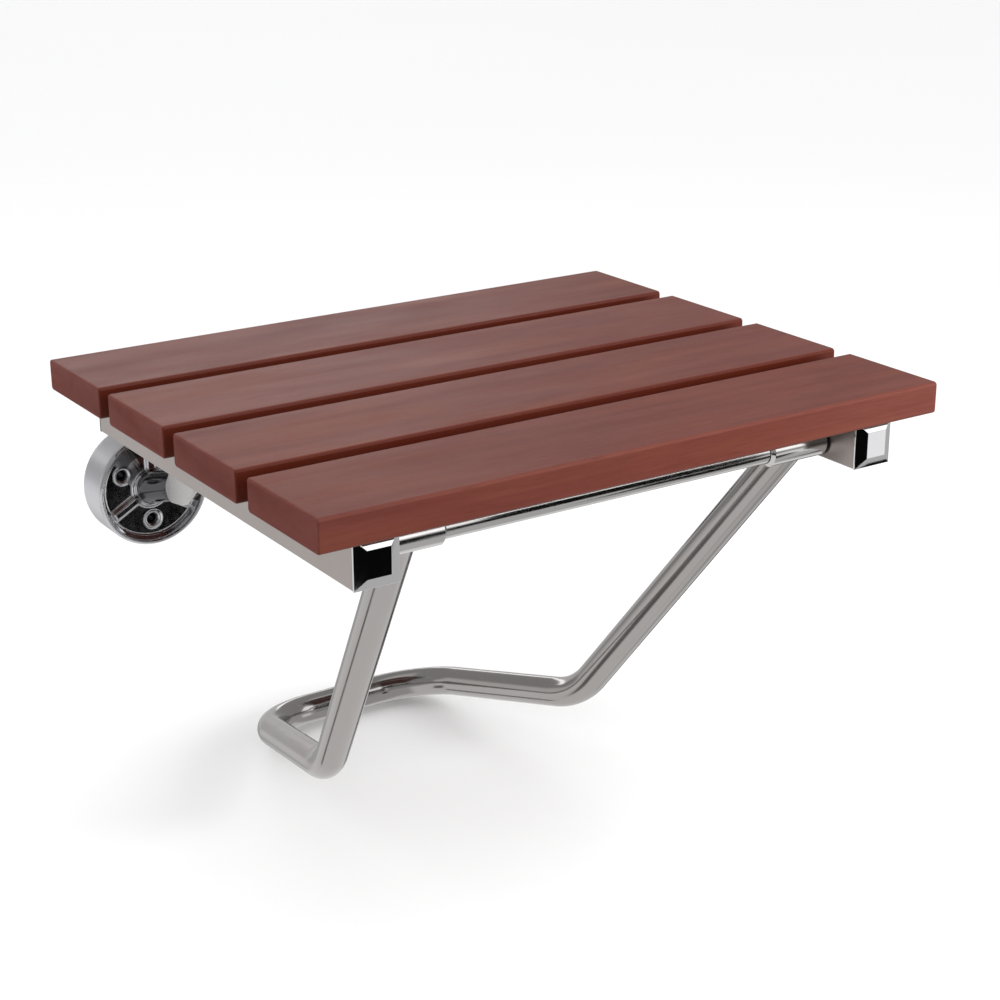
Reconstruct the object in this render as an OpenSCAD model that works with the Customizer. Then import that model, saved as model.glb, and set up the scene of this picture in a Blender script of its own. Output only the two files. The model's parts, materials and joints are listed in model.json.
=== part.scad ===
// Wall-mounted fold-down shower seat: slatted seat on two rails, a swinging leg, two wall flanges.
// Origin: on the wall, midway between the flanges, at the height of their centres.
// +Y points into the wall, +Z is up, and the seat stands out towards -Y.

/* [Seat] */
// Length of the slats, left to right
seat_l = 508; // [500:1:530]
// Width of one slat, front to back
slat_w = 92.8; // [91:0.2:94]
// Gap between neighbouring slats
slat_gap = 15.6; // [14:0.2:17]
// Thickness of the slats
slat_t = 23.5; // [20:0.5:28]
// Radius of the slats' long edges
slat_r = 2.5; // [1:0.5:6]
// Height of the seat's top above the flange centres
seat_top = 121; // [119:1:123]
// Free space between the wall and the seat's rear edge
wall_space = 38; // [37:1:42]

/* [Rails] */
// Width of the square rails
rail_w = 33.4; // [32:0.2:36]
// Height of the rails
rail_h = 35.3; // [34:0.1:36]
// Wall thickness of the rails
rail_wall = 1.5; // [1:0.1:2]
// Distance from a slat's end to the rail's outer face
rail_inset = 30.6; // [29:0.2:34]
// Setback of the rail's front end from the seat's front edge
rail_front = 15.4; // [12:0.2:16]
// Setback of the rail's rear end from the seat's rear edge
rail_rear = 16; // [12:0.5:16]
// Width of the sloping border round a front cap's face
cap_bevel = 8; // [6:0.5:9]
// How far a front cap's face stands out from its rim
cap_rise = 4; // [3:0.5:6]

/* [Front rod] */
// Radius of the rod that carries the leg
rod_r = 8; // [7:0.5:8]
// Setback of the rod from the seat's front edge
rod_back = 52; // [50:1:54]
// Depth of the rod's axis below the seat's top
rod_drop = 46; // [45:0.5:47]
// Outer radius of the leg's sleeves
sleeve_r = 11; // [10.5:0.5:12]
// Distance of a sleeve's inner end from the middle
sleeve_in = 137; // [130:1:140]

/* [Leg] */
// Outer radius of the leg tube
tube_r = 12.5; // [12:0.1:12.7]
// Wall thickness of the leg tube
tube_wall = 1.5; // [1:0.1:2]
// Distance of the tube from the middle, where it meets a sleeve
leg_top_x = 164; // [162:0.5:165]
// Distance of a low corner from the middle
leg_low_x = 119; // [116:0.5:122]
// Distance of a low corner from the wall
leg_low_out = 205; // [200:1:212]
// Depth of a low corner below the flange centres
leg_low_down = 189; // [182:1:194]
// Distance of a corner by the wall from the middle
leg_rear_x = 82; // [80:0.5:88]
// Depth of the foot below the flange centres
leg_rear_down = 238; // [232:1:246]
// Bend radius at the low corners
bend_low = 74; // [60:1:80]
// Bend radius at the corners by the wall
bend_rear = 60; // [50:1:65]

/* [Wall brackets] */
// Distance of a flange's centre from the middle
flange_x = 174; // [172:1:178]
// Outer radius of a flange
flange_r = 46.5; // [45:0.5:48]
// Depth of a flange, gasket included
flange_d = 34; // [32:1:35]
// Thickness of the rubber gasket
gasket_t = 1.5; // [1:0.1:2]
// Radius of the circle that the screw holes lie on
screw_ring = 27; // [26:0.5:29]
// Radius of a screw hole
screw_hole_r = 2.75; // [2.5:0.05:3]
// Radius of the sloping neck
neck_r = 13; // [11:0.5:13.5]
// Slope of the neck
neck_slope = 19; // [17:1:21]
// Height of the hinge axis above the flange centres
hinge_up = 85; // [84:0.5:86]
// Distance of the hinge axis from the wall
hinge_out = 84; // [83:0.5:86]
// Thickness of the arm plates
arm_t = 5; // [4:0.5:5]
// Radius of the hinge pins
pin_r = 4; // [3.5:0.5:4]

/* [Hidden] */
$fn = 64;

slip = 0.06;                                    // radial clearance of a running fit
joint = 0.02;                                   // step between joined round pieces
seat_d = 4 * slat_w + 3 * slat_gap;
seat_rear = -wall_space;
seat_front = seat_rear - seat_d;
slat_under = seat_top - slat_t;

rail_out = seat_l / 2 - rail_inset;             // outer face of a rail
rail_in = rail_out - rail_w;                    // inner face of a rail
rail_mid = (rail_out + rail_in) / 2;
rail_y0 = seat_front + rail_front;
rail_y1 = seat_rear - rail_rear;
rail_under = slat_under - rail_h;

rod_y = seat_front + rod_back;
rod_z = seat_top - rod_drop;
sleeve_out = rail_in - 2;                       // outer end of a sleeve
sleeve_chamfer = 2.4;
liner_r = 9.3;                                  // outer radius of a sleeve's plastic liner
liner_in = sleeve_in + 6;                       // a liner stops short of the sleeve's inner end

screw_r = 2.2;                                  // wood screws that hold the slats
screw_head_r = 4.2;
screw_rows = [-17, 17];                         // two screws for each slat in each rail
plug_d = 8;                                     // depth of a cap's plug, clear of the end screws
plug_w = rail_w - 2 * rail_wall - 0.4;
plug_h = rail_h - 2 * rail_wall - 0.4;

// The leg's centre line on the right-hand side: at its sleeve, at its low corner and by the wall
leg_top = [leg_top_x, rod_y + 10.5, rod_z - 8];
leg_low = [leg_low_x, -leg_low_out, -leg_low_down];
leg_rear = [leg_rear_x, -tube_r - 0.5, -leg_rear_down];

neck_y = -flange_d + 7;                         // recessed face of a flange
neck_len = 74;
hinge = [-hinge_out, hinge_up];                 // hinge axis in the Y-Z plane
arm_out = rail_in - 2;                          // outer face of an arm plate
arm_in = arm_out - arm_t;
eye_r = 11;
bush_r = 6.5;
strap_in = arm_in - 7;                          // inner face of a hinge strap
strap_t = 4;
strap_web = hinge[0] - 35;                      // front side of the strap's step

// Centres and radii, in the Y-Z plane, of the round corners that make up an arm plate
arm_tip = [[-96, 19.5], 9];
arm_heel = [[-112, 23], 10];
arm_knee = [[-124, 44], 18];
arm_eye = [hinge, eye_r];

function slat_y(i) = seat_front + slat_w / 2 + i * (slat_w + slat_gap);
function mirrored(p) = [-p[0], p[1], p[2]];
function unit(v) = v / norm(v);

module side(s) {
    if (s > 0) children();
    else mirror([1, 0, 0]) children();
}

// A cylinder from one X to another, with its axis at a point of the Y-Z plane
module bar_x(x0, x1, at, r) {
    translate([x0, at[0], at[1]]) rotate([0, 90, 0]) cylinder(h = x1 - x0, r = r);
}

// A plate from one X to another, with its outline drawn in Y and Z
module plate_x(x0, x1) {
    translate([x0, 0, 0]) rotate([90, 0, 90]) linear_extrude(height = x1 - x0) children();
}

// Turns +Z to lie along a vector
module along(v) {
    rotate([0, acos(v[2] / norm(v)), atan2(v[1], v[0])]) children();
}

module rounded_rect(w, h, r) {
    square([w - 2 * r, h], center = true);
    square([w, h - 2 * r], center = true);
    for (x = [-1, 1], y = [-1, 1])
        translate([x * (w / 2 - r), y * (h / 2 - r)]) circle(r = r);
}

// The area between two round corners, bounded by their outer tangents
module web(a, b) {
    run = b[0] - a[0];
    turn = acos((a[1] - b[1]) / norm(run));
    base = atan2(run[1], run[0]);
    function edge(c, angle) = c[0] + (c[1] - joint) * [cos(angle), sin(angle)];
    polygon([edge(a, base + turn), edge(b, base + turn), edge(b, base - turn), edge(a, base - turn)]);
}

// ---- Seat ----

module slat(i) {
    color([0.45, 0.2, 0.15]) difference() {
        translate([-seat_l / 2, slat_y(i), slat_under + slat_t / 2])
            rotate([90, 0, 90]) linear_extrude(height = seat_l) rounded_rect(slat_w, slat_t, slat_r);
        for (x = [-rail_mid, rail_mid], row = screw_rows)
            translate([x, slat_y(i) + row, slat_under - 1]) cylinder(h = 16, r = screw_r + slip);
    }
}

module rail(s) {
    hollow_w = rail_w - 2 * rail_wall;
    hollow_h = rail_h - 2 * rail_wall;
    color([0.72, 0.72, 0.73]) side(s) difference() {
        translate([rail_mid, rail_y1, rail_under + rail_h / 2]) rotate([90, 0, 0])
            linear_extrude(height = rail_y1 - rail_y0) difference() {
                rounded_rect(rail_w, rail_h, 1.5);
                square([hollow_w, hollow_h], center = true);
            }
        for (i = [0:3], row = screw_rows) {
            translate([rail_mid, slat_y(i) + row, slat_under - 5]) cylinder(h = 10, r = screw_r + 0.3);
            translate([rail_mid, slat_y(i) + row, rail_under - 1]) cylinder(h = 5, r = screw_head_r + 1.3);
        }
        bar_x(rail_in - 1, rail_in + 4, hinge, pin_r + slip);
        for (y = strap_screw_y())
            bar_x(rail_in - 1, rail_in + 4, [y, hinge_up], 2.5);
    }
}

module front_cap(s) {
    rim = 1.6;
    face_w = rail_w / 2 - cap_bevel;
    face_h = rail_h / 2 - cap_bevel;
    color([0.85, 0.86, 0.88]) side(s) translate([rail_mid, rail_y0, rail_under + rail_h / 2]) {
        translate([0, plug_d / 2, 0]) cube([plug_w, plug_d, plug_h], center = true);
        translate([0, -rim / 2, 0]) cube([rail_w, rim, rail_h], center = true);
        translate([0, -rim, 0]) intersection() {
            linear_extrude(height = rail_h, center = true)
                polygon([[-rail_w / 2, 0], [rail_w / 2, 0], [face_w, -cap_rise], [-face_w, -cap_rise]]);
            rotate([0, 90, 0]) linear_extrude(height = rail_w, center = true)
                polygon([[-rail_h / 2, 0], [rail_h / 2, 0], [face_h, -cap_rise], [-face_h, -cap_rise]]);
        }
    }
}

module rear_cap(s) {
    color([0.1, 0.1, 0.1]) side(s) translate([rail_mid, rail_y1, rail_under + rail_h / 2]) {
        translate([0, -plug_d / 2, 0]) cube([plug_w, plug_d, plug_h], center = true);
        translate([0, 1, 0]) cube([rail_w, 2, rail_h], center = true);
    }
}

module slat_screws(s) {
    seat = slat_under - rail_wall;              // a head bears on the rail's top wall from inside
    color([0.6, 0.6, 0.62]) side(s) for (i = [0:3], row = screw_rows)
        translate([rail_mid, slat_y(i) + row, seat]) {
            translate([0, 0, -3]) difference() {
                cylinder(h = 3, r = screw_head_r);
                translate([0, 0, -1]) cylinder(h = 3, r = 2, $fn = 6);
            }
            cylinder(h = 15, r = screw_r);
        }
}

module front_rod() {
    color([0.7, 0.7, 0.71]) bar_x(-rail_in, rail_in, [rod_y, rod_z], rod_r);
}

// ---- Hinges on the seat ----

function strap_screw_y() = [strap_web - 26, strap_web - 12];

module hinge_strap(s) {
    reach = strap_web - 36;
    color([0.66, 0.66, 0.68]) side(s) difference() {
        union() {
            plate_x(strap_in, strap_in + strap_t) {
                translate(hinge) circle(r = eye_r);
                polygon([
                    [strap_web, hinge_up - eye_r], [hinge[0], hinge_up - eye_r],
                    [hinge[0], hinge_up + eye_r], [strap_web, hinge_up + eye_r]
                ]);
            }
            translate([strap_in, strap_web - strap_t, hinge_up - eye_r])
                cube([rail_in - strap_in, strap_t, 2 * eye_r]);
            translate([rail_in - strap_t, reach, hinge_up - eye_r])
                cube([strap_t, strap_web - reach, 2 * eye_r]);
        }
        bar_x(strap_in - 1, strap_in + strap_t + 1, hinge, pin_r + slip);
        for (y = strap_screw_y())
            bar_x(rail_in - strap_t - 1, rail_in + 1, [y, hinge_up], 2.5);
    }
}

module strap_screws(s) {
    color([0.6, 0.6, 0.62]) side(s) for (y = strap_screw_y()) difference() {
        union() {
            bar_x(rail_in - strap_t - 3, rail_in - strap_t, [y, hinge_up], 4.5);
            bar_x(rail_in - strap_t, rail_in + 6, [y, hinge_up], 2.5 - slip);
        }
        translate([rail_in - strap_t - 4, y, hinge_up]) rotate([0, 90, 0]) cylinder(h = 3, r = 2, $fn = 6);
    }
}

module hinge_pin(s) {
    color([0.6, 0.6, 0.62]) side(s) difference() {
        union() {
            bar_x(strap_in - 5, strap_in, hinge, 6.5);
            bar_x(strap_in, rail_in + rail_wall + 7.5, hinge, pin_r);
        }
        translate([strap_in - 6, hinge[0], hinge[1]]) rotate([0, 90, 0]) cylinder(h = 4, r = 2.9, $fn = 6);
    }
}

module hinge_nut(s) {
    color([0.6, 0.6, 0.62]) side(s) difference() {
        translate([rail_in + rail_wall, hinge[0], hinge[1]]) rotate([0, 90, 0])
            cylinder(h = 6.5, r = 7.5, $fn = 6);
        bar_x(rail_in + rail_wall - 1, rail_in + rail_wall + 8, hinge, pin_r);
    }
}

// ---- Leg ----

// A round bar through a list of points, with one bend radius for each inner point
module bent_bar(points, radii, r) {
    last = len(points) - 1;
    function turn(i) = acos(unit(points[i] - points[i - 1]) * unit(points[i + 1] - points[i]));
    function cut(i) = i == 0 || i == last ? 0 : radii[i - 1] * tan(turn(i) / 2);
    for (i = [0:last - 1]) {
        run = unit(points[i + 1] - points[i]);
        span = norm(points[i + 1] - points[i]) - cut(i) - cut(i + 1);
        translate(points[i] + (cut(i) - joint) * run) along(run)
            cylinder(h = span + 2 * joint, r = r + joint);
    }
    for (i = [1:last - 1]) {
        into = unit(points[i] - points[i - 1]);
        away = unit(points[i + 1] - points[i]);
        up = unit(cross(into, away));
        toward = cross(up, into);               // from the bend's start to its centre
        centre = points[i] - cut(i) * into + radii[i - 1] * toward;
        frame = [
            [-toward[0], into[0], up[0], centre[0]],
            [-toward[1], into[1], up[1], centre[1]],
            [-toward[2], into[2], up[2], centre[2]],
            [0, 0, 0, 1]
        ];
        multmatrix(frame) rotate_extrude(angle = turn(i)) translate([radii[i - 1], 0]) circle(r = r);
    }
}

// The leg's centre line, with its ends a given distance above the points where it meets the sleeves
function leg_path(rise) =
    let (end = leg_top + rise * unit(leg_top - leg_low))
    [mirrored(end), mirrored(leg_low), mirrored(leg_rear), leg_rear, leg_low, end];

module leg_tube() {
    bends = [bend_low, bend_rear, bend_rear, bend_low];
    color([0.68, 0.67, 0.65]) difference() {
        bent_bar(leg_path(8), bends, tube_r);
        bent_bar(leg_path(8 - tube_wall), bends, tube_r - tube_wall);
        for (s = [-1, 1]) side(s) bar_x(sleeve_in - 20, rail_in, [rod_y, rod_z], sleeve_r);
    }
}

module leg_sleeve(s) {
    axis = [rod_y, rod_z];
    lug_top = slat_under - 0.3;                 // the lug bears on the front slat when the leg is open
    color([0.8, 0.8, 0.81]) side(s) difference() {
        union() {
            bar_x(sleeve_in + sleeve_chamfer, sleeve_out, axis, sleeve_r);
            translate([sleeve_in, rod_y, rod_z]) rotate([0, 90, 0])
                cylinder(h = sleeve_chamfer, r1 = sleeve_r - sleeve_chamfer, r2 = sleeve_r);
            translate([sleeve_in + 14, rod_y - 6, rod_z]) cube([14, 6, lug_top - rod_z]);
        }
        bar_x(sleeve_in - 1, sleeve_out + 1, axis, rod_r + 0.3);
        bar_x(liner_in, sleeve_out + 1, axis, liner_r);
    }
}

module leg_bush(s) {
    axis = [rod_y, rod_z];
    color([0.1, 0.1, 0.1]) side(s) difference() {
        union() {
            bar_x(liner_in, sleeve_out, axis, liner_r);
            bar_x(sleeve_out, rail_in - 0.3, axis, sleeve_r - 0.8);
        }
        bar_x(liner_in - 1, rail_in, axis, rod_r + slip);
    }
}

// ---- Wall brackets ----

module neck(extra) {
    translate([flange_x, neck_y, 0]) rotate([90 - neck_slope, 0, 0])
        translate([0, 0, -extra]) cylinder(h = neck_len + extra, r = neck_r);
}

// An arm plate from one X to another
module arm_plate(x0, x1) {
    plate_x(x0, x1) for (corner = [arm_tip, arm_heel, arm_knee, arm_eye])
        translate(corner[0]) circle(r = corner[1]);
    plate_x(x0, x1) web(arm_tip, arm_knee);
    plate_x(x0, x1) web(arm_tip, arm_heel);
    plate_x(x0, x1) web(arm_heel, arm_knee);
    plate_x(x0, x1) web(arm_knee, arm_eye);
}

module screw_places() {
    for (angle = [30, 150, 270])
        translate([flange_x + screw_ring * cos(angle), 0, screw_ring * sin(angle)])
            rotate([90, 0, 0]) children();
}

module wall_flange(s) {
    wall = 3;
    floor_t = 4;
    lip = 1.8;
    post_r = 6.8;
    face = -neck_y;                             // height of the recessed face above the wall
    color([0.8, 0.8, 0.82]) side(s) difference() {
        union() {
            translate([flange_x, 0, 0]) rotate([90, 0, 0]) rotate_extrude(angle = 360) {
                polygon([
                    [0, face - floor_t], [flange_r - wall, face - floor_t],
                    [flange_r - wall, gasket_t], [flange_r, gasket_t],
                    [flange_r, flange_d - lip], [flange_r - lip, flange_d],
                    [flange_r - 2 * lip, flange_d], [flange_r - wall - 3.6, face], [0, face]
                ]);
            }
            for (angle = [90, 210, 330])
                translate([flange_x, -face, 0]) rotate([90, 0, 0]) rotate([0, 0, angle])
                    translate([neck_r + 1, -3.5, -1]) cube([flange_r - neck_r - 9, 7, 5]);
            translate([flange_x, 0, 0]) rotate([90, 0, 0]) {
                translate([0, 0, gasket_t]) cylinder(h = face - gasket_t, r = neck_r + 2);
                translate([0, 0, face - 1]) cylinder(h = 3, r = neck_r + 2.5);
            }
            screw_places() translate([0, 0, gasket_t]) cylinder(h = face - gasket_t + 0.5, r = post_r);
            intersection() {
                neck(12);
                translate([flange_x - 50, -150, -50]) cube([100, 150 - gasket_t - 4, 150]);
            }
        }
        screw_places() {
            translate([0, 0, -1]) cylinder(h = face + 3, r = screw_hole_r);
            translate([0, 0, face - 2.6]) cylinder(h = 3.3, r1 = screw_hole_r, r2 = screw_hole_r + 3.3);
        }
        arm_plate(arm_in, arm_out + 10);
    }
}

module flange_gasket(s) {
    color([0.12, 0.12, 0.12]) side(s) difference() {
        translate([flange_x, 0, 0]) rotate([90, 0, 0]) cylinder(h = gasket_t, r = flange_r - 0.8);
        screw_places() translate([0, 0, -1]) cylinder(h = gasket_t + 2, r = screw_hole_r + 0.5);
    }
}

module bracket_arm(s) {
    color([0.75, 0.75, 0.76]) side(s) difference() {
        arm_plate(arm_in, arm_out);
        bar_x(arm_in - 1, arm_out + 1, hinge, bush_r);
    }
}

module hinge_bush(s) {
    color([0.92, 0.92, 0.9]) side(s) difference() {
        union() {
            bar_x(arm_in, arm_out, hinge, bush_r);
            bar_x(arm_out, rail_in - 0.3, hinge, eye_r - 1);
            bar_x(strap_in + strap_t + 0.3, arm_in, hinge, eye_r - 1);
        }
        bar_x(strap_in, rail_in, hinge, pin_r + slip);
    }
}

slat(0);  // slat_1
slat(1);  // slat_2
slat(2);  // slat_3
slat(3);  // slat_4
rail(-1);  // rail_left
rail(1);  // rail_right
front_cap(-1);  // front_cap_left
front_cap(1);  // front_cap_right
rear_cap(-1);  // rear_cap_left
rear_cap(1);  // rear_cap_right
slat_screws(-1);  // slat_screws_left
slat_screws(1);  // slat_screws_right
front_rod();
hinge_strap(-1);  // hinge_strap_left
hinge_strap(1);  // hinge_strap_right
strap_screws(-1);  // strap_screws_left
strap_screws(1);  // strap_screws_right
hinge_pin(-1);  // hinge_pin_left
hinge_pin(1);  // hinge_pin_right
hinge_nut(-1);  // hinge_nut_left
hinge_nut(1);  // hinge_nut_right
leg_tube();
leg_sleeve(-1);  // leg_sleeve_left
leg_sleeve(1);  // leg_sleeve_right
leg_bush(-1);  // leg_bush_left
leg_bush(1);  // leg_bush_right
wall_flange(-1);  // wall_flange_left
wall_flange(1);  // wall_flange_right
flange_gasket(-1);  // flange_gasket_left
flange_gasket(1);  // flange_gasket_right
bracket_arm(-1);  // bracket_arm_left
bracket_arm(1);  // bracket_arm_right
hinge_bush(-1);  // hinge_bush_left
hinge_bush(1);  // hinge_bush_right
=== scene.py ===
"""Looks for the wall-mounted fold-down shower seat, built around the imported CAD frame. Metres, +Z up."""

import json
import math

import bmesh
import bpy
from mathutils import Matrix, Vector, noise


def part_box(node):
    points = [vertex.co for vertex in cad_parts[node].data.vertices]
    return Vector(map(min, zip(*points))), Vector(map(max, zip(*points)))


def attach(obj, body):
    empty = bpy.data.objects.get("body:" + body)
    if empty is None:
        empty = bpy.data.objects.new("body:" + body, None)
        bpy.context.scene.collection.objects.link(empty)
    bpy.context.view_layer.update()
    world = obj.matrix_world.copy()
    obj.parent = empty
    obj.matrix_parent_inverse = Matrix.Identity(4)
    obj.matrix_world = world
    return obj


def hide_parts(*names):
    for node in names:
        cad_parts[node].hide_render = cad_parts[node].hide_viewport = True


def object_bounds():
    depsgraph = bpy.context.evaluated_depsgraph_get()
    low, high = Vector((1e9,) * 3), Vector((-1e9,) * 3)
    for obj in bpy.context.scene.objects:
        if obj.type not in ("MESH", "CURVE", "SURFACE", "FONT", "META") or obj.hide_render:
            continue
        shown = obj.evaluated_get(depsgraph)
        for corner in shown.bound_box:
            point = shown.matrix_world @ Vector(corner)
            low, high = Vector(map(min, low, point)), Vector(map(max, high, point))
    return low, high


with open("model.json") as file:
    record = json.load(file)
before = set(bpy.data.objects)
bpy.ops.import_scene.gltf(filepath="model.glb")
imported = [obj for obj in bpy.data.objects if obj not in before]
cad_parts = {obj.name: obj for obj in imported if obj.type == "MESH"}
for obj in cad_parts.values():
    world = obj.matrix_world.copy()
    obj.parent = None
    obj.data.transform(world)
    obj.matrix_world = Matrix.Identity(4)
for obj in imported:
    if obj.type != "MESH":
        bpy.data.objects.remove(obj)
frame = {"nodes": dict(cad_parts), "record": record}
CAD_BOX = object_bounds()
NODES = frame["nodes"]
BODY_OF = {n: b for b, names in frame["record"]["behaviour"]["bodies"].items() for n in names}
MM = 0.001
scene = bpy.context.scene


# ---------------------------------------------------------------- camera, floor and light

def look_matrix(eye, azimuth, elevation, roll):
    """A camera's matrix: it stands at eye and looks along azimuth (0 is +Y) and down by elevation."""
    az, el, ro = (math.radians(a) for a in (azimuth, elevation, roll))
    forward = Vector((-math.sin(az) * math.cos(el), math.cos(az) * math.cos(el), -math.sin(el)))
    right = forward.cross(Vector((0, 0, 1))).normalized()
    up = right.cross(forward)
    side = right * math.cos(ro) + up * math.sin(ro)
    top = up * math.cos(ro) - right * math.sin(ro)
    m = Matrix((side, top, -forward)).transposed().to_4x4()
    m.translation = eye
    return m


camera = bpy.data.objects.new("camera", bpy.data.cameras.new("camera"))
scene.collection.objects.link(camera)
camera.data.sensor_width = 36
camera.data.lens = 73.478
camera.data.clip_end = 60
camera.matrix_world = look_matrix(Vector((-0.7883, -1.4592, 0.5416)), -33.49, 19.856, -0.206)
scene.camera = camera
scene.view_settings.view_transform = "Standard"

FLOOR_GAP = 0.0002
FLOOR_Z = CAD_BOX[0][2] - FLOOR_GAP


def area_light(name, at, aim, size, watts):
    """A square softbox at one point, facing another."""
    light = bpy.data.lights.new(name, "AREA")
    light.shape = "RECTANGLE"
    light.size = light.size_y = size
    light.energy = watts
    o = bpy.data.objects.new(name, light)
    facing = (Vector(at) - Vector(aim)).to_track_quat("Z", "Y")
    o.matrix_world = Matrix.Translation(at) @ facing.to_matrix().to_4x4()
    o.visible_camera = False
    scene.collection.objects.link(o)
    return o


area_light("top_box", (0.1, -0.3, 2.2), (0, -0.24, 0.0), 2.2, 4)
# Shiny faces don't see these two: the panels and cards below give them their reflections
area_light("key_box", (0.9, -1.3, 0.38), (0.25, -0.45, 0.08), 0.6, 17).visible_glossy = False
area_light("fill_box", (-1.6, 0.3, 0.3), (-0.25, -0.2, 0.1), 0.9, 7).visible_glossy = False


def studio():
    """The world. Matt surfaces meet an even pale sky, and shiny ones meet a studio of panels and flags."""
    world = bpy.data.worlds.new("studio")
    world.use_nodes = True
    tree = world.node_tree

    def node(kind, *values, **settings):
        n = tree.nodes.new(kind)
        for key, value in settings.items():
            setattr(n, key, value)
        for socket, value in zip(n.inputs, values):
            if isinstance(value, bpy.types.NodeSocket):
                tree.links.new(value, socket)
            else:
                socket.default_value = value
        return n.outputs[0]

    def maths(operation, a, b=0.0):
        return node("ShaderNodeMath", a, b, operation=operation)

    def step(value, start, end, low, high):
        return node("ShaderNodeMapRange", value, start, end, low, high, interpolation_type="SMOOTHSTEP")

    way = tree.nodes.new("ShaderNodeSeparateXYZ")
    tree.links.new(tree.nodes.new("ShaderNodeTexCoord").outputs["Generated"], way.inputs[0])
    x, y, z = way.outputs
    height = maths("DEGREES", maths("ARCSINE", z))
    turn = maths("DEGREES", maths("ARCTAN2", x, y))                 # 0 is +Y, 90 is +X
    full_turn = maths("MODULO", maths("ADD", turn, 360.0), 360.0)   # the same, from 0 to 360

    # The pale floor, and the dimmer room above it
    light = step(height, -13.0, -3.0, 0.80, 0.34)
    # Turn from and to, height from and to, in degrees, then the soft edge's half width and the brightness
    panels = (
        (-85, -38, -10, 14, 4, 0.66),       # pale wall to the left
        (-12, 32, -13, 7, 4, 0.62),         # pale wall behind
        (60, 116, -32, -8, 4, 0.48),        # floor to the right
        (90, 216, -72, -8, 5, 0.50),        # floor ahead
        (-4, 34, -34, -15, 4, 0.46),        # floor behind
        (46, 66, -42, -26, 4, 0.03),        # flag on the floor to the right
        (-92, -66, -43, -25, 3, 0.16),      # flag on the floor to the left
        (-50, -28, -51, -46, 1.5, 0.10),    # narrow flag behind it
        (118, 141, -27, -9, 2, 1.0),        # white card ahead
        (118, 168, 4, 36, 3, 1.5),          # softbox ahead
        (-22, 34, 9, 14, 3, 2.6),           # softbox behind
    )
    for left, right, low, high, soft, bright in panels:
        around = full_turn if right > 180 else turn
        inside = maths("MULTIPLY", step(around, left - soft, left + soft, 0.0, 1.0),
                       step(around, right - soft, right + soft, 1.0, 0.0))
        inside = maths("MULTIPLY", inside, step(height, low - soft, low + soft, 0.0, 1.0))
        inside = maths("MULTIPLY", inside, step(height, high - soft, high + soft, 1.0, 0.0))
        # light moves towards the panel's brightness where the ray is inside it
        outside = maths("SUBTRACT", 1.0, inside)
        light = maths("ADD", maths("MULTIPLY", light, outside), maths("MULTIPLY", inside, bright))
    rays = tree.nodes.new("ShaderNodeLightPath")
    shade = tree.nodes.new("ShaderNodeMix")
    shade.data_type = "RGBA"
    # The camera itself sees at least white
    sky = maths("MAXIMUM", step(height, -12.0, 12.0, 0.40, 1.10), rays.outputs["Is Camera Ray"])
    tree.links.new(sky, shade.inputs[6])
    tree.links.new(light, shade.inputs[7])
    tree.links.new(rays.outputs["Is Glossy Ray"], shade.inputs[0])
    tree.links.new(shade.outputs[2], tree.nodes["Background"].inputs["Color"])
    scene.world = world


studio()


def flag(name, low, high):
    """A black card ahead of the seat, upright between two corners, that only mirror-like faces see."""
    mid = (Vector(low) + Vector(high)) / 2
    bm = bmesh.new()
    bmesh.ops.create_grid(bm, x_segments=1, y_segments=1, size=0.5)
    mesh = bpy.data.meshes.new(name)
    bm.to_mesh(mesh)
    bm.free()
    o = bpy.data.objects.new(name, mesh)
    o.matrix_world = (Matrix.Translation(mid) @ Matrix.Rotation(math.radians(90), 4, "X")
                      @ Matrix.Diagonal((high[0] - low[0], high[2] - low[2], 1, 1)))
    black = bpy.data.materials.new(name)
    black.use_nodes = True
    shader = black.node_tree.nodes["Principled BSDF"]
    shader.inputs["Base Color"].default_value = (0.004, 0.004, 0.004, 1)
    shader.inputs["Roughness"].default_value = 1.0
    shader.inputs["Specular IOR Level"].default_value = 0.0
    mesh.materials.append(black)
    for way in ("camera", "shadow", "diffuse", "transmission"):
        setattr(o, "visible_" + way, False)
    scene.collection.objects.link(o)


# Each card puts a dark reflection on the rod and its sleeves, the right leg, the caps or a flange's recess
flag("flag_upper", (-0.45, -0.62, -0.016), (0.30, -0.62, 0.064))
flag("flag_middle", (0.015, -0.621, 0.060), (0.30, -0.621, 0.15))
flag("flag_right", (0.19, -0.622, -0.20), (0.35, -0.622, -0.03))
flag("flag_cap", (0.27, -0.46, -0.10), (0.36, -0.46, -0.01))
flag("flag_rod", (0.17, -0.50, -0.07), (0.24, -0.50, 0.035))
flag("flag_lower", (0.45, -2.0, -0.98), (0.88, -2.0, -0.50))


# ---------------------------------------------------------------- materials

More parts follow.
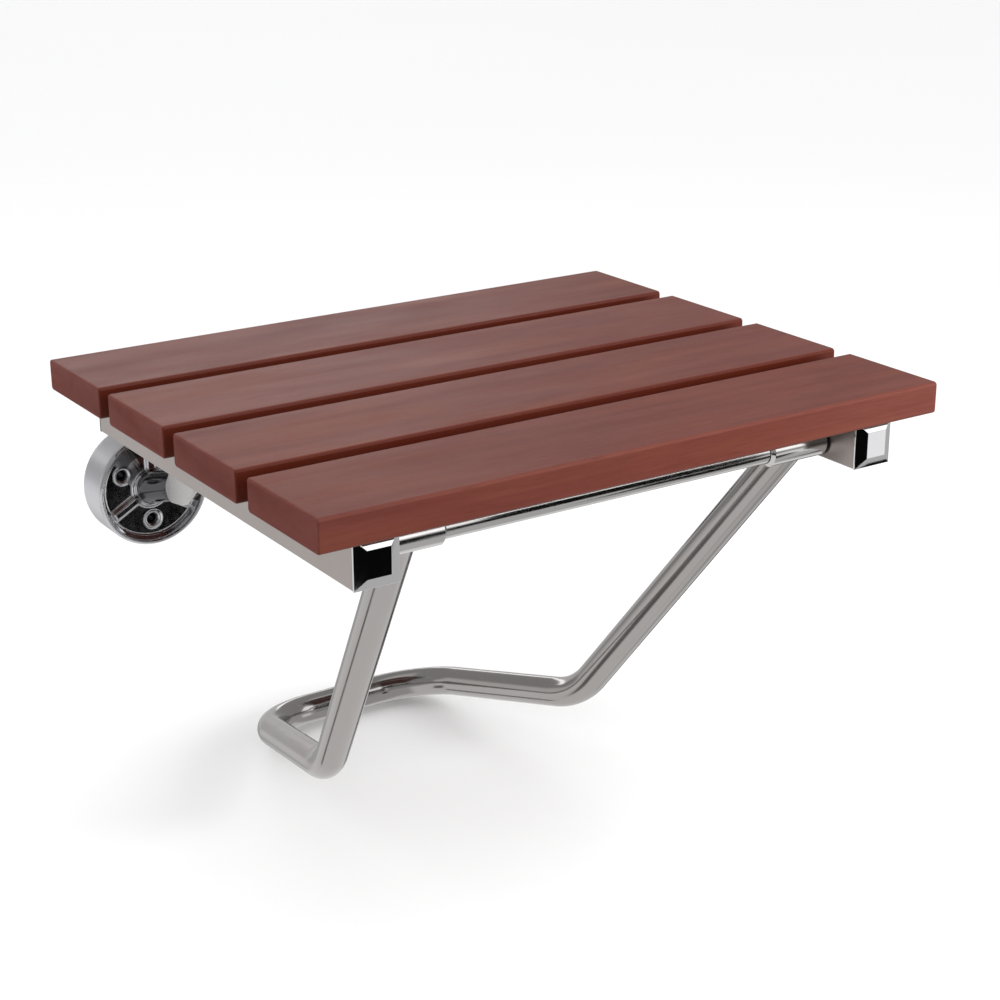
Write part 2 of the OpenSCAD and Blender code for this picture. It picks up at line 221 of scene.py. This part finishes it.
class Paint:
    """A procedural material: a Principled shader and short ways to add nodes before it."""

    def __init__(self, name):
        self.m = bpy.data.materials.new(name)
        self.m.use_nodes = True
        self.tree = self.m.node_tree
        self.bsdf = self.tree.nodes["Principled BSDF"]

    def set(self, **values):
        for key, value in values.items():
            self.bsdf.inputs[key.replace("_", " ")].default_value = value
        return self

    def link(self, source, target):
        if isinstance(target, str):
            target = self.bsdf.inputs[target]
        self.tree.links.new(source, target)

    def node(self, kind, **settings):
        n = self.tree.nodes.new(kind)
        for key, value in settings.items():
            setattr(n, key, value)
        return n

    def place(self, scale, offset=(0, 0, 0), attribute=None):
        """Object coordinates, or a mesh attribute, stretched and shifted."""
        if attribute:
            source = self.node("ShaderNodeAttribute", attribute_name=attribute).outputs["Vector"]
        else:
            source = self.node("ShaderNodeTexCoord").outputs["Object"]
        mapping = self.node("ShaderNodeMapping")
        mapping.inputs["Scale"].default_value = scale
        mapping.inputs["Location"].default_value = offset
        self.link(source, mapping.inputs["Vector"])
        return mapping.outputs["Vector"]

    def noise(self, where, scale=1.0, detail=4.0, rough=0.55, distortion=0.0):
        n = self.node("ShaderNodeTexNoise")
        n.inputs["Scale"].default_value = scale
        n.inputs["Detail"].default_value = detail
        n.inputs["Roughness"].default_value = rough
        n.inputs["Distortion"].default_value = distortion
        self.link(where, n.inputs["Vector"])
        return n.outputs["Fac"]

    def remap(self, value, low, high, to_low, to_high):
        n = self.node("ShaderNodeMapRange")
        for key, v in (("From Min", low), ("From Max", high), ("To Min", to_low), ("To Max", to_high)):
            n.inputs[key].default_value = v
        self.link(value, n.inputs["Value"])
        return n.outputs["Result"]

    def ramp(self, value, stops):
        n = self.node("ShaderNodeValToRGB")
        ramp = n.color_ramp
        while len(ramp.elements) < len(stops):
            ramp.elements.new(0.5)
        for element, (at, colour) in zip(ramp.elements, stops):
            element.position = at
            element.color = (*colour, 1)
        self.link(value, n.inputs["Fac"])
        return n.outputs["Color"]

    def mix(self, factor, a, b, blend="MIX"):
        """Colours a and b mixed: each is a socket or a plain colour, and factor a socket or a number."""
        n = self.node("ShaderNodeMix", data_type="RGBA", blend_type=blend)
        for socket, value in ((n.inputs[0], factor), (n.inputs[6], a), (n.inputs[7], b)):
            if isinstance(value, bpy.types.NodeSocket):
                self.link(value, socket)
            else:
                socket.default_value = (*value, 1) if isinstance(value, tuple) else value
        return n.outputs[2]

    def maths(self, operation, a, b):
        n = self.node("ShaderNodeMath", operation=operation)
        for socket, value in zip(n.inputs, (a, b)):
            if isinstance(value, bpy.types.NodeSocket):
                self.link(value, socket)
            else:
                socket.default_value = value
        return n.outputs[0]

    def edge(self):
        return self.node("ShaderNodeAttribute", attribute_name="edge").outputs["Fac"]

    def bump(self, height, strength, distance, below=None):
        n = self.node("ShaderNodeBump")
        n.inputs["Strength"].default_value = strength
        n.inputs["Distance"].default_value = distance
        self.link(height, n.inputs["Height"])
        if below is not None:
            self.link(below, n.inputs["Normal"])
        self.link(n.outputs["Normal"], "Normal")
        return n.outputs["Normal"]


def wood(name, offset, tone, sheen):
    """Reddish oiled hardwood with the grain along X, end grain on the faces that look along X, and painted
    shade, a darker colour on the long edges where a mesh attribute is 1. Sheen is the specular level of its
    long faces.
    """
    p = Paint(name)
    long = p.place((3.2, 110, 110), offset)
    streaks = p.noise(long, 1.0, 5, 0.6, 0.25)
    fine = p.noise(p.place((26, 620, 620), offset), 1.0, 3, 0.6)
    broad = p.noise(p.place((6, 30, 30), offset), 1.0, 3, 0.55, 0.6)
    pores = p.noise(p.place((55, 1500, 1500), offset), 1.0, 2, 0.5)
    body = p.ramp(streaks, [
        (0.30, (0.132 * tone, 0.033 * tone, 0.024 * tone)),
        (0.50, (0.152 * tone, 0.041 * tone, 0.030 * tone)),
        (0.72, (0.172 * tone, 0.050 * tone, 0.038 * tone))])
    body = p.mix(p.remap(broad, 0.50, 0.72, 0.0, 0.8), body, (0.182 * tone, 0.051 * tone, 0.029 * tone))
    body = p.mix(p.remap(broad, 0.50, 0.28, 0.0, 0.7), body, (0.118 * tone, 0.030 * tone, 0.024 * tone))
    body = p.mix(p.remap(fine, 0.35, 0.7, 0.0, 0.24), body, (0.090, 0.022, 0.015))
    body = p.mix(p.remap(pores, 0.60, 0.72, 0.0, 0.38), body, (0.045, 0.012, 0.009))
    # End grain: growth rings lying nearly flat, with open pores
    ends = p.place((4, 30, 210), (offset[0], offset[1] * 0.3, 2.4))
    rings = p.noise(ends, 1.0, 4, 0.6, 0.7)
    end_body = p.ramp(rings, [
        (0.3, (0.138 * tone, 0.037 * tone, 0.030 * tone)), (0.7, (0.160 * tone, 0.045 * tone, 0.037 * tone))])
    speckle = p.noise(p.place((900, 1300, 1300), offset), 1.0, 2, 0.5)
    end_body = p.mix(p.remap(speckle, 0.52, 0.66, 0.0, 0.4), end_body, (0.045, 0.013, 0.010))
    normal = p.node("ShaderNodeNewGeometry").outputs["Normal"]
    facing = p.node("ShaderNodeSeparateXYZ")
    local = p.node("ShaderNodeVectorTransform", vector_type="NORMAL", convert_from="WORLD", convert_to="OBJECT")
    p.link(normal, local.inputs[0])
    p.link(local.outputs[0], facing.inputs[0])
    is_end = p.remap(p.maths("ABSOLUTE", facing.outputs["X"], 0.0), 0.6, 0.9, 0.0, 1.0)
    colour = p.mix(is_end, body, end_body)
    rubbed = p.remap(p.noise(p.place((40, 90, 90), offset), 1.0, 3), 0.4, 0.62, 0.25, 1.0)
    worn = p.maths("MULTIPLY", p.edge(), rubbed)
    colour = p.mix(p.maths("MULTIPLY", worn, 0.25), colour, (0.185 * tone, 0.058 * tone, 0.040 * tone))
    # Painted shade: the long edges that face a gap between boards are darkened to a deep red-brown
    inner = p.node("ShaderNodeAttribute", attribute_name="inner").outputs["Fac"]
    colour = p.mix(p.maths("MULTIPLY", inner, 0.85), colour, (0.080, 0.010, 0.003))
    p.link(colour, "Base Color")
    matt = p.remap(p.noise(p.place((9, 40, 40), offset), 1.0, 3), 0.3, 0.7, 0.34, 0.44)
    p.link(p.maths("ADD", matt, p.maths("MULTIPLY", is_end, 0.14)), "Roughness")
    first = p.bump(fine, 0.16, 0.00035)
    p.bump(p.remap(pores, 0.58, 0.74, 1.0, 0.0), 0.20, 0.00025, first)
    p.link(p.remap(is_end, 0.0, 1.0, sheen, 0.08), "Specular IOR Level")
    p.set(IOR=1.5)
    return p.m


def metal(name, colour, rough, streak, depth, tint, attribute=None, wear=0.25, spread=0.07, zones=()):
    """Bare or plated metal: streaks from brushing or polishing, faint clouds, and edges rubbed brighter.

    Each zone is a mesh attribute with the colour and roughness used where the attribute is 1; a zone's colour
    can be a finish of the metal's own, and can be painted shade.
    """
    p = Paint(name)
    lines = p.noise(p.place(streak, (0, 0, 0), attribute), 1.0, 4, 0.65)
    clouds = p.noise(p.place((9, 9, 9)), 1.0, 2, 0.5, 0.4)
    smudge = p.noise(p.place((25, 25, 25), (3, 1, 7)), 1.0, 3, 0.5, 0.6)
    dark = tuple(c * (1 - tint) for c in colour)
    body = p.mix(p.remap(lines, 0.3, 0.7, 0.0, 1.0), dark, colour)
    warmer = tuple(c * (1 - 0.5 * tint) * f for c, f in zip(colour, (1.0, 0.97, 0.94)))
    body = p.mix(p.remap(clouds, 0.35, 0.65, 0.0, 0.5), body, warmer)
    body = p.mix(p.maths("MULTIPLY", p.edge(), wear), body, tuple(min(1.0, c * 1.25) for c in colour))
    level = p.maths("ADD", p.remap(lines, 0.3, 0.7, rough - spread / 2, rough + spread / 2),
                    p.remap(smudge, 0.35, 0.7, -spread / 3, spread / 2))
    for zone, zone_colour, zone_rough in zones:
        inside = p.node("ShaderNodeAttribute", attribute_name=zone).outputs["Fac"]
        zone_dark = tuple(c * (1 - tint) for c in zone_colour)
        streaked = p.mix(p.remap(lines, 0.3, 0.7, 0.0, 1.0), zone_dark, zone_colour)
        body = p.mix(inside, body, streaked)
        level = p.maths("ADD", level, p.maths("MULTIPLY", inside, zone_rough - rough))
    p.link(body, "Base Color")
    p.link(level, "Roughness")
    p.bump(lines, depth, 0.0002)
    p.set(Metallic=1.0)
    return p.m


def plain(name, colour, rough, grain=900, depth=0.15, tint=0.15):
    """Moulded plastic or rubber: a fine matt grain, faint mottling and edges worn a little lighter."""
    p = Paint(name)
    fine = p.noise(p.place((grain, grain, grain)), 1.0, 3, 0.6)
    clouds = p.noise(p.place((45, 45, 45)), 1.0, 3, 0.5)
    body = p.mix(p.remap(clouds, 0.35, 0.65, 0.0, 1.0), colour, tuple(c * (1 - tint) for c in colour))
    body = p.mix(p.maths("MULTIPLY", p.edge(), 0.3), body, tuple(min(1.0, c * 1.3 + 0.02) for c in colour))
    p.link(body, "Base Color")
    p.link(p.remap(fine, 0.3, 0.7, rough - 0.06, rough + 0.08), "Roughness")
    p.bump(fine, depth, 0.00015)
    return p.m


RAIL = metal("rail_satin", (0.43, 0.388, 0.372), 0.30, (500, 7, 500), depth=0.08, tint=0.07)
LEG = metal("leg_satin", (0.47, 0.448, 0.44), 0.15, (2200, 2200, 14), depth=0.04, tint=0.06, attribute="lay",
            spread=0.05)
ROD = metal("rod_satin", (0.66, 0.65, 0.64), 0.17, (8, 700, 700), depth=0.06, tint=0.07)
SLEEVE = metal("sleeve_polished", (0.70, 0.685, 0.68), 0.15, (60, 500, 500), depth=0.05, tint=0.05)
CHROME = metal("cap_chrome", (0.76, 0.76, 0.775), 0.055, (160, 160, 160), depth=0.015, tint=0.03, wear=0.1,
               spread=0.03)
# Painted shade and painted dark reflection: the zones for the neck and the screw holes are coloured near black
FLANGE = metal("flange_polished", (0.66, 0.66, 0.68), 0.09, (240, 240, 240), depth=0.03, tint=0.05, spread=0.04,
               zones=(("band", (0.74, 0.735, 0.77), 0.34), ("neck", (0.20, 0.20, 0.205), 0.14),
                      ("hole", (0.08, 0.08, 0.085), 0.25)))
ARM = metal("arm_satin", (0.62, 0.605, 0.59), 0.30, (300, 300, 14), depth=0.10, tint=0.08)
SCREW = metal("screw_zinc", (0.58, 0.58, 0.57), 0.24, (500, 500, 500), depth=0.10, tint=0.10)
BLACK = plain("rear_cap_black", (0.022, 0.022, 0.023), 0.48)
WHITE = plain("bush_nylon", (0.72, 0.71, 0.67), 0.40, grain=700, tint=0.06)
RUBBER = plain("gasket_rubber", (0.028, 0.028, 0.030), 0.62, grain=1400)


# ---------------------------------------------------------------- meshes

def soft_step(value, start, end):
    t = min(1.0, max(0.0, (value - start) / (end - start)))
    return t * t * (3 - 2 * t)


def write_scalars(mesh, name, values):
    mesh.attributes.new(name, "FLOAT", "POINT").data.foreach_set("value", values)


def mark_edges(mesh, reach=0.55):
    """Writes the "edge" attribute: how sharply the surface turns outward at each vertex, from 0 (flat) to 1."""
    bm = bmesh.new()
    bm.from_mesh(mesh)
    values = []
    for v in bm.verts:
        turn = max((e.calc_face_angle_signed(0.0) for e in v.link_edges if len(e.link_faces) == 2), default=0.0)
        values.append(min(1.0, max(0.0, turn) / reach))
    bm.free()
    write_scalars(mesh, "edge", values)


def finish_mesh(name, mesh, material, node, smooth):
    """Makes a piece of a mesh, shades it smooth up to an angle in degrees, and lets it stand for a CAD node."""
    mesh.materials.clear()
    mesh.materials.append(material)
    mesh.shade_smooth()
    mesh.set_sharp_from_angle(angle=math.radians(smooth))
    mark_edges(mesh)
    o = bpy.data.objects.new(name, mesh)
    scene.collection.objects.link(o)
    weighted = o.modifiers.new("normals", "WEIGHTED_NORMAL")
    weighted.keep_sharp = True
    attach(o, BODY_OF[node])
    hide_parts(node)


def mesh_of(bm, name):
    mesh = bpy.data.meshes.new(name)
    bm.to_mesh(mesh)
    bm.free()
    return mesh


def cad_bmesh(node):
    bm = bmesh.new()
    bm.from_mesh(NODES[node].data)
    bmesh.ops.remove_doubles(bm, verts=bm.verts, dist=2e-6)
    return bm


def softened(node, material, width, angle=28, smooth=32):
    """The CAD node's shape with the edges that turn more than angle degrees rounded off."""
    bm = cad_bmesh(node)
    bmesh.ops.dissolve_limit(bm, angle_limit=math.radians(1.0), verts=bm.verts, edges=bm.edges)
    sharp = [e for e in bm.edges if len(e.link_faces) == 2 and e.calc_face_angle(0.0) > math.radians(angle)]
    bmesh.ops.bevel(bm, geom=sharp, offset=width, segments=2, profile=0.5, affect="EDGES", clamp_overlap=True)
    bmesh.ops.triangulate(bm, faces=[f for f in bm.faces if len(f.verts) > 4])
    finish_mesh(node + "_piece", mesh_of(bm, node), material, node, smooth)


# A flange in millimetres: its centre's distance from the middle, and the ring its screw holes are on
FLANGE_X, HOLE_RING = 174, 27
HOLE_TURNS = [math.radians(a) for a in (30, 150, 270)]


def flange_zones(p):
    """How far a point of a flange is on its satin outer band, on its neck, and down a screw hole; the neck and
    the holes get painted shade and painted dark reflection.
    """
    x, z, height = abs(p.x) / MM - FLANGE_X, p.z / MM, -p.y / MM
    from_centre = math.hypot(x, z)
    from_hole = min(math.hypot(x - HOLE_RING * math.cos(a), z - HOLE_RING * math.sin(a)) for a in HOLE_TURNS)
    band = soft_step(from_centre, 45.4, 46.2)
    neck = 1.0 if height > 45 else soft_step(height, 28.5, 30.5) * soft_step(from_centre, 18.0, 16.0)
    return band, neck, soft_step(from_hole, 5.0, 4.2)


def cast_flange(node, voxel=0.85 * MM, rounds=2):
    """The CAD flange as a polished casting: remeshed evenly, with every edge blended."""
    o = bpy.data.objects.new(node + "_work", mesh_of(cad_bmesh(node), node))
    scene.collection.objects.link(o)
    remesh = o.modifiers.new("remesh", "REMESH")
    remesh.mode = "VOXEL"
    remesh.voxel_size = voxel
    relax = o.modifiers.new("smooth", "SMOOTH")
    relax.factor, relax.iterations = 0.5, rounds
    bpy.context.view_layer.update()
    done = bpy.data.meshes.new_from_object(o.evaluated_get(bpy.context.evaluated_depsgraph_get()))
    bpy.data.objects.remove(o)
    zones = [flange_zones(v.co) for v in done.vertices]
    for i, name in enumerate(("band", "neck", "hole")):
        write_scalars(done, name, [zone[i] for zone in zones])
    finish_mesh(node + "_piece", done, FLANGE, node, 75)


def rings_mesh(name, rings):
    """A skin over closed rings of points, each with the same count, and a face over each end."""
    bm = bmesh.new()
    rows = [[bm.verts.new(p) for p in ring] for ring in rings]
    n = len(rows[0])
    for a, b in zip(rows, rows[1:]):
        for i in range(n):
            bm.faces.new((a[i], a[(i + 1) % n], b[(i + 1) % n], b[i]))
    bm.faces.new(list(reversed(rows[0])))
    bm.faces.new(rows[-1])
    bmesh.ops.recalc_face_normals(bm, faces=bm.faces)
    return mesh_of(bm, name)


# ---------------------------------------------------------------- slats

def slat(index, tone, sheen):
    """A board with rounded long edges and softened ends."""
    node = f"slat_{index}"
    lo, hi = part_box(node)
    mid = (lo + hi) / 2
    half_w, half_t = (hi.y - lo.y) / 2, (hi.z - lo.z) / 2
    radius, end_soft, steps = 2.5 * MM, 1.2 * MM, 7

    def section(x, inset):
        """The board's outline at x, drawn in by inset, with rounded corners."""
        w, t, r = half_w - inset, half_t - inset, max(radius - inset * 0.4, 1.0 * MM)
        points = []
        for corner in range(4):
            cy = (w - r) * (1 if corner in (0, 3) else -1)
            cz = (t - r) * (1 if corner in (0, 1) else -1)
            for k in range(steps + 1):
                a = math.radians(90 * corner + 90 * k / steps)
                points.append(Vector((x, mid.y + cy + r * math.cos(a), mid.z + cz + r * math.sin(a))))
        return points

    end = []                                    # (place along the board, inset) round the softened end
    for k in range(5):
        a = math.radians(90 * k / 4)
        end.append((lo.x + end_soft * (1 - math.cos(a)), end_soft * (1 - math.sin(a))))
    margin, spans = 4 * MM, 24
    middle = [(lo.x + margin + (hi.x - lo.x - 2 * margin) * k / spans, 0.0) for k in range(spans + 1)]
    other_end = [(lo.x + hi.x - x, inset) for x, inset in reversed(end)]
    mesh = rings_mesh(node, [section(x, inset) for x, inset in end + middle + other_end])
    # Painted shade on the long edges that face another board, where the gap between them is shaded
    sides = {1: [1], 4: [-1]}.get(index, [-1, 1])
    write_scalars(mesh, "inner", [
        max(soft_step(side * (v.co.y - mid.y), half_w - 2 * MM, half_w - 0.5 * MM) for side in sides)
        for v in mesh.vertices])
    material = wood(f"wood_{index}", (index * 3.7, index * 1.9, index * 2.3), tone, sheen)
    finish_mesh(f"{node}_board", mesh, material, node, 40)


for index, tone, sheen in ((1, 1.0, 0.19), (2, 1.02, 0.235), (3, 1.05, 0.28), (4, 1.0, 0.275)):
    slat(index, tone, sheen)


# ---------------------------------------------------------------- leg

# The leg's centre line on the right-hand side, as in the CAD
LEG_TOP = Vector((164, -393.5, 67)) * MM       # where it meets its sleeve
LEG_LOW = Vector((119, -205, -189)) * MM       # its low corner
LEG_REAR = Vector((82, -13, -238)) * MM        # its corner by the wall
BEND_LOW, BEND_REAR = 74 * MM, 60 * MM
TUBE_R = 12.5 * MM


def mirrored(p):
    return Vector((-p.x, p.y, p.z))


def rounded_path(points, radii, spacing):
    """Points along a path whose corners are filleted, closer together in the bends than on the straights."""
    out = [points[0]]
    for i in range(1, len(points) - 1):
        before = (points[i - 1] - points[i]).normalized()
        after = (points[i + 1] - points[i]).normalized()
        angle = before.angle(after)
        radius = radii[i - 1]
        reach = radius / math.tan(angle / 2)
        centre = points[i] + (before + after).normalized() * radius / math.sin(angle / 2)
        start, end = points[i] + before * reach - centre, points[i] + after * reach - centre
        sweep = start.angle(end)
        count = max(6, round(sweep * radius / spacing * 2))
        for k in range(count + 1):
            t = k / count
            swung = start * math.sin((1 - t) * sweep) + end * math.sin(t * sweep)
            out.append(centre + swung / math.sin(sweep))
    out.append(points[-1])
    dense = [out[0]]
    for a, b in zip(out, out[1:]):
        count = max(1, round((b - a).length / (spacing * 4)))
        dense += [a.lerp(b, (k + 1) / count) for k in range(count)]
    return dense


def tube_rings(path, radius, count):
    """Rings round a path, carried along it without twist, and the surface coordinates of their points."""
    last = len(path) - 1
    tangents = [(path[min(i + 1, last)] - path[max(i - 1, 0)]).normalized() for i in range(last + 1)]
    side = tangents[0].orthogonal().normalized()
    rings, lay, run = [], [], 0.0
    for i, (p, t) in enumerate(zip(path, tangents)):
        side = (side - t * side.dot(t)).normalized()
        other = t.cross(side)
        run += (p - path[i - 1]).length if i else 0.0
        ring = []
        for k in range(count):
            a = 2 * math.pi * k / count
            ring.append(p + radius * (math.cos(a) * side + math.sin(a) * other))
            lay.append((radius * math.cos(a), radius * math.sin(a), run))
        rings.append(ring)
    return rings, lay


def leg():
    rise = (LEG_TOP - LEG_LOW).normalized()
    crown = LEG_TOP + rise * 8 * MM
    corners = [mirrored(crown), mirrored(LEG_LOW), mirrored(LEG_REAR), LEG_REAR.copy(), LEG_LOW.copy(), crown]
    path = rounded_path(corners, [BEND_LOW, BEND_REAR, BEND_REAR, BEND_LOW], 3 * MM)
    rings, lay = tube_rings(path, TUBE_R, 64)
    mesh = rings_mesh("leg_tube", rings)
    layer = mesh.attributes.new("lay", "FLOAT_VECTOR", "POINT")
    for i, value in enumerate(lay):
        layer.data[i].vector = value
    finish_mesh("leg_tube_piece", mesh, LEG, "leg_tube", 50)


leg()


# ---------------------------------------------------------------- rails, caps, fittings, rod and wall brackets

for side in ("left", "right"):
    softened(f"rail_{side}", RAIL, 0.25 * MM)
    softened(f"front_cap_{side}", CHROME, 0.3 * MM, angle=20, smooth=11)
    softened(f"rear_cap_{side}", BLACK, 0.5 * MM)
    softened(f"slat_screws_{side}", SCREW, 0.25 * MM)
    softened(f"hinge_strap_{side}", ARM, 0.5 * MM)
    softened(f"strap_screws_{side}", SCREW, 0.3 * MM)
    softened(f"hinge_pin_{side}", SCREW, 0.4 * MM)
    softened(f"hinge_nut_{side}", SCREW, 0.4 * MM)
    softened(f"leg_sleeve_{side}", SLEEVE, 0.35 * MM)
    # The leg bushes are black, a guessed material, so that their rims at the rails show as a dark gap: painted
    # shade
    softened(f"leg_bush_{side}", BLACK, 0.3 * MM)
    softened(f"bracket_arm_{side}", ARM, 0.6 * MM)
    softened(f"hinge_bush_{side}", WHITE, 0.3 * MM)
    softened(f"flange_gasket_{side}", RUBBER, 0.3 * MM)
    cast_flange(f"wall_flange_{side}")
softened("front_rod", ROD, 0.6 * MM)


# ---------------------------------------------------------------- floor

def floor():
    bm = bmesh.new()
    bmesh.ops.create_grid(bm, x_segments=8, y_segments=8, size=14)
    o = bpy.data.objects.new("floor", mesh_of(bm, "floor"))
    o.location = (0, 0, FLOOR_Z)
    p = Paint("floor_pale")
    shade = p.noise(p.place((0.6, 0.6, 0.6)), 1.0, 2)
    p.link(p.mix(shade, (0.90, 0.90, 0.90), (0.92, 0.92, 0.92)), "Base Color")
    p.set(Roughness=0.7)
    o.data.materials.append(p.m)
    o.visible_glossy = o.visible_diffuse = False
    scene.collection.objects.link(o)


floor()
